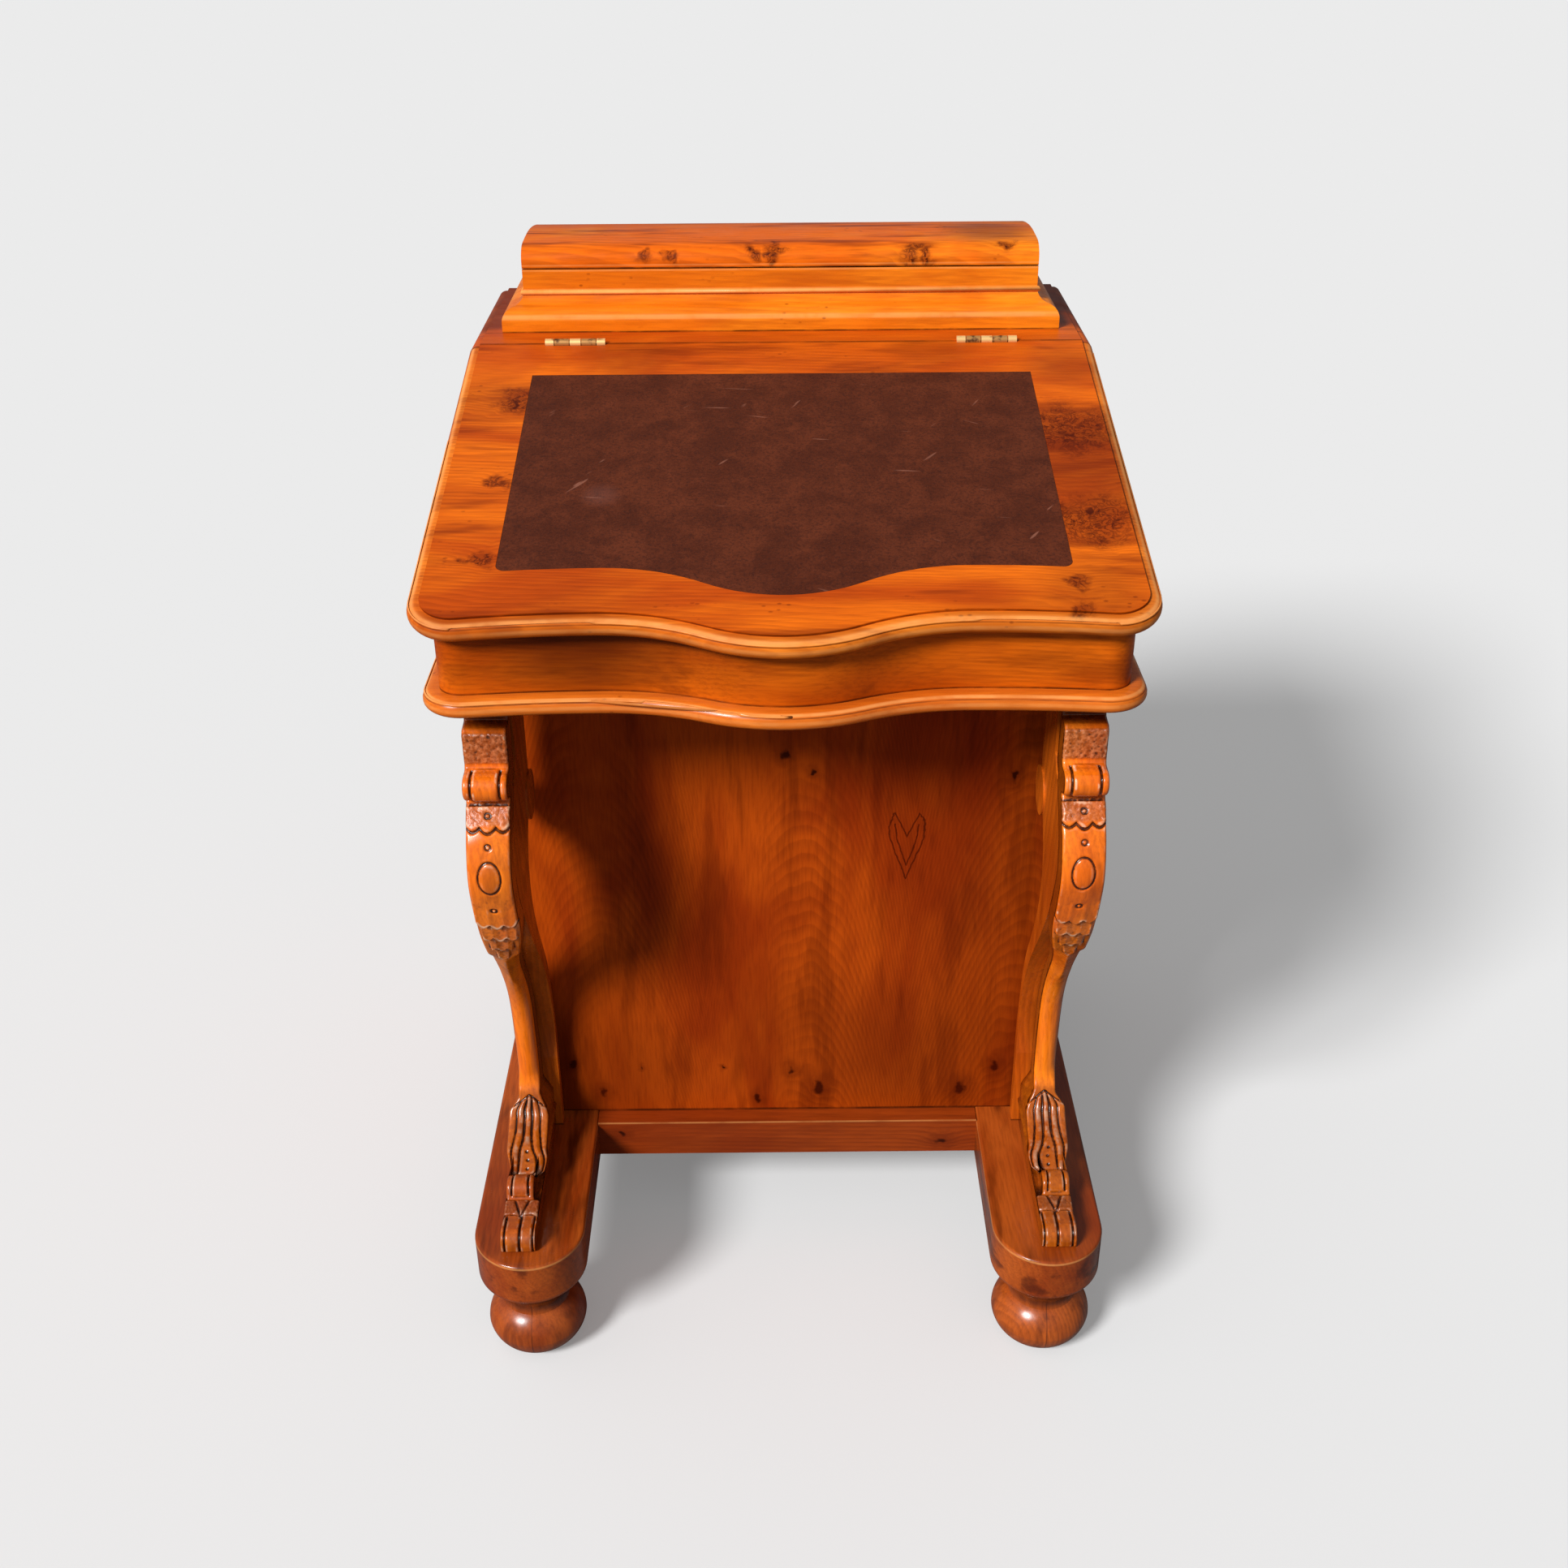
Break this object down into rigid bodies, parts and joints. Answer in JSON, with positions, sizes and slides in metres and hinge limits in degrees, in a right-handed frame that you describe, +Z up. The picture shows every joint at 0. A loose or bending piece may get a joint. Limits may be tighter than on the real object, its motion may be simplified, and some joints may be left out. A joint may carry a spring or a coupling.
{
  "type": "davenport desk",
  "caption": "Davenport writing desk: hinged leather-lined slope and lidded stationery box on a pedestal of side drawers, with scroll brackets on sledge runners.",
  "frame": {"origin": "on the floor, at the middle of the desk's width and depth", "axes": "+Z up, +Y to the back, +X to the right of a sitter who faces the slope; the drawers open to +X"},
  "size_m": [0.55, 0.637, 0.8675],
  "materials": {
    "yew_veneer": "polished",
    "carved_wood": "polished",
    "dark_wood": "polished",
    "lining_wood": "matte",
    "leather": "worn, semi-matte",
    "brass": "aged polish"
  },
  "bodies": {
    "carcase": {"back_panel": "yew_veneer", "base_rail_front": "dark_wood", "base_rail_rear": "dark_wood", "box_back": "yew_veneer", "box_floor": "lining_wood", "box_side_left": "yew_veneer", "box_side_right": "yew_veneer", "bracket_web_left": "carved_wood", "bracket_web_right": "carved_wood", "drawer_dividers": "yew_veneer", "drawer_guides": "lining_wood", "dummy_fronts": "yew_veneer", "dummy_knobs": "dark_wood", "foot_front_left": "dark_wood", "foot_front_right": "dark_wood", "foot_rear_left": "dark_wood", "foot_rear_right": "dark_wood", "frieze": "yew_veneer", "front_panel": "yew_veneer", "hinge_fixed_screws": "brass", "hinge_pins": "brass", "left_frame": "yew_veneer", "left_panel": "lining_wood", "lid_hinge_fixed_leaves": "brass", "lower_moulding": "yew_veneer", "pedestal_floor": "lining_wood", "right_stiles": "yew_veneer", "runner_left": "dark_wood", "runner_right": "dark_wood", "scroll_leg_left": "carved_wood", "scroll_leg_right": "carved_wood", "stationery_back": "lining_wood", "stationery_front": "yew_veneer", "stationery_hinge_fixed_leaves": "brass", "stationery_side_left": "yew_veneer", "stationery_side_right": "yew_veneer", "top_board": "yew_veneer"},
    "writing_lid": {"lid_board": "yew_veneer", "leather_skiver": "leather", "lid_hinge_moving_leaves": "brass", "lid_hinge_screws": "brass"},
    "stationery_cover": {"stationery_lid": "yew_veneer", "stationery_hinge_moving_leaves": "brass", "stationery_hinge_screws": "brass"},
    "drawer_1": {"drawer_1_front": "yew_veneer", "drawer_1_sides": "lining_wood", "drawer_1_bottom": "lining_wood", "drawer_1_knobs": "dark_wood"},
    "drawer_2": {"drawer_2_front": "yew_veneer", "drawer_2_sides": "lining_wood", "drawer_2_bottom": "lining_wood", "drawer_2_knobs": "dark_wood"},
    "drawer_3": {"drawer_3_front": "yew_veneer", "drawer_3_sides": "lining_wood", "drawer_3_bottom": "lining_wood", "drawer_3_knobs": "dark_wood"},
    "drawer_4": {"drawer_4_front": "yew_veneer", "drawer_4_sides": "lining_wood", "drawer_4_bottom": "lining_wood", "drawer_4_knobs": "dark_wood"}
  },
  "joints": [
    {"name": "writing_lid_hinge", "type": "hinge", "parent": "carcase", "child": "writing_lid", "pos_m": [0, 0.1225, 0.796], "axis": [-1, 0, 0], "range_deg": [0, 110]},
    {"name": "stationery_lid_hinge", "type": "hinge", "parent": "carcase", "child": "stationery_cover", "pos_m": [0, 0.311, 0.847], "axis": [-1, 0, 0], "range_deg": [0, 105]},
    {"name": "drawer_1_slide", "type": "slide", "parent": "carcase", "child": "drawer_1", "axis": [1, 0, 0], "range_m": [0, 0.3]},
    {"name": "drawer_2_slide", "type": "slide", "parent": "carcase", "child": "drawer_2", "axis": [1, 0, 0], "range_m": [0, 0.3]},
    {"name": "drawer_3_slide", "type": "slide", "parent": "carcase", "child": "drawer_3", "axis": [1, 0, 0], "range_m": [0, 0.3]},
    {"name": "drawer_4_slide", "type": "slide", "parent": "carcase", "child": "drawer_4", "axis": [1, 0, 0], "range_m": [0, 0.3]}
  ]
}
